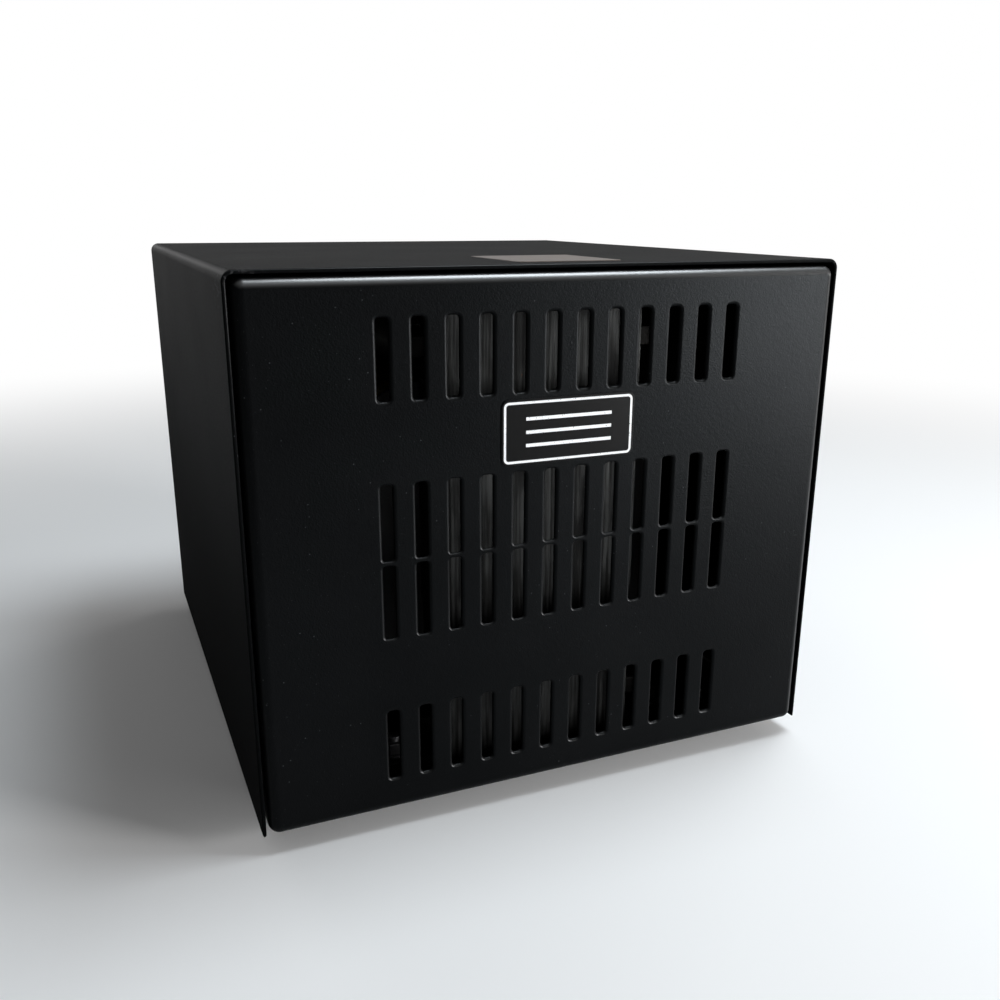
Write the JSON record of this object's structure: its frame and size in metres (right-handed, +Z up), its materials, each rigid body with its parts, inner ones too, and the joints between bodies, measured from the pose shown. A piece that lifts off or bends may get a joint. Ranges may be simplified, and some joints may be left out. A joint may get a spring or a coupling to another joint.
{
  "type": "isolation transformer",
  "caption": "Bench isolation transformer in a folded black steel case with a slotted front, inner core and coil, and inlet, power switch, breaker, outlets and earth stud behind.",
  "frame": {"origin": "under the middle of the whole object, on the surface that the feet stand on", "axes": "+Z up, the slotted front faces -Y, +X to the right of someone facing the front"},
  "size_m": [0.247, 0.2952, 0.2168],
  "materials": {
    "chassis_paint": "satin black powder coat with a fine texture",
    "cover_paint": "satin black powder coat with a fine texture",
    "plate_enamel": "blank black plate with a plain white border line",
    "label_film": "blank pale label film",
    "black_screw": "blackened steel screws",
    "zinc_steel": "bright zinc plated steel",
    "foot_rubber": "moulded black rubber",
    "lamination_steel": "stacked silicon steel laminations, varnished",
    "former_plastic": "glass filled plastic coil former",
    "enamelled_copper": "enamelled copper wire in layers",
    "insulating_paper": "pressed insulating paper",
    "copper_foil": "thin copper foil",
    "winding_tape": "yellow polyester winding tape",
    "bracket_paint": "black painted steel angle",
    "varnished_steel": "steel bolts dipped in dark varnish with the core",
    "block_plastic": "black moulded terminal block",
    "terminal_brass": "brass terminals and stud",
    "nickel_plate": "nickel plated brass",
    "black_plastic": "black moulded plastic",
    "rocker_red": "translucent red rocker",
    "button_white": "white moulded button",
    "lamp_amber": "amber moulded lens",
    "lead_red": "red insulated lead",
    "lead_blue": "blue insulated lead",
    "lead_brown": "brown insulated lead",
    "lead_green": "green insulated lead"
  },
  "bodies": {
    "root": {"chassis": "chassis_paint", "cover": "cover_paint", "cover_screws": "black_screw", "rubber_feet": "foot_rubber", "foot_screws": "zinc_steel", "foot_nuts": "zinc_steel", "front_plate": "plate_enamel", "top_label": "label_film", "core_e_stack": "lamination_steel", "core_i_stack": "lamination_steel", "coil_former": "former_plastic", "primary_winding": "enamelled_copper", "insulation_layers": "insulating_paper", "copper_screen": "copper_foil", "secondary_winding": "enamelled_copper", "outer_wrap": "winding_tape", "foot_angles": "bracket_paint", "clamp_bars": "bracket_paint", "core_bolts": "varnished_steel", "core_nuts": "varnished_steel", "core_washers": "varnished_steel", "bolt_sleeves": "insulating_paper", "mounting_bolts": "zinc_steel", "mounting_nuts": "zinc_steel", "mounting_washers": "zinc_steel", "terminal_block": "block_plastic", "terminal_plates": "terminal_brass", "terminal_screws": "terminal_brass", "block_screws": "zinc_steel", "primary_leads": "lead_red", "secondary_leads": "lead_blue", "supply_leads": "lead_brown", "outlet_leads": "lead_blue", "earth_leads": "lead_green", "inlet_housing": "black_plastic", "inlet_pins": "nickel_plate", "inlet_screws": "black_screw", "switch_housing": "black_plastic", "switch_tabs": "terminal_brass", "breaker_housing": "black_plastic", "breaker_nut": "nickel_plate", "outlet_housings": "black_plastic", "outlet_contacts": "terminal_brass", "lamp_housing": "nickel_plate", "lamp_lens": "lamp_amber", "lamp_nut": "nickel_plate", "earth_stud": "terminal_brass", "earth_nut": "terminal_brass", "earth_washer": "terminal_brass"},
    "rocker": {"rocker": "rocker_red"},
    "button": {"reset_button": "button_white"}
  },
  "joints": [
    {"name": "rocker_tilt", "type": "hinge", "parent": "root", "child": "rocker", "pos_m": [-0.00446, 0.1281, 0.0643], "axis": [1, 0, 0], "range_deg": [0, 20]},
    {"name": "button_travel", "type": "slide", "parent": "root", "child": "button", "axis": [0, 1, 0], "range_m": [0, 0.004]}
  ]
}
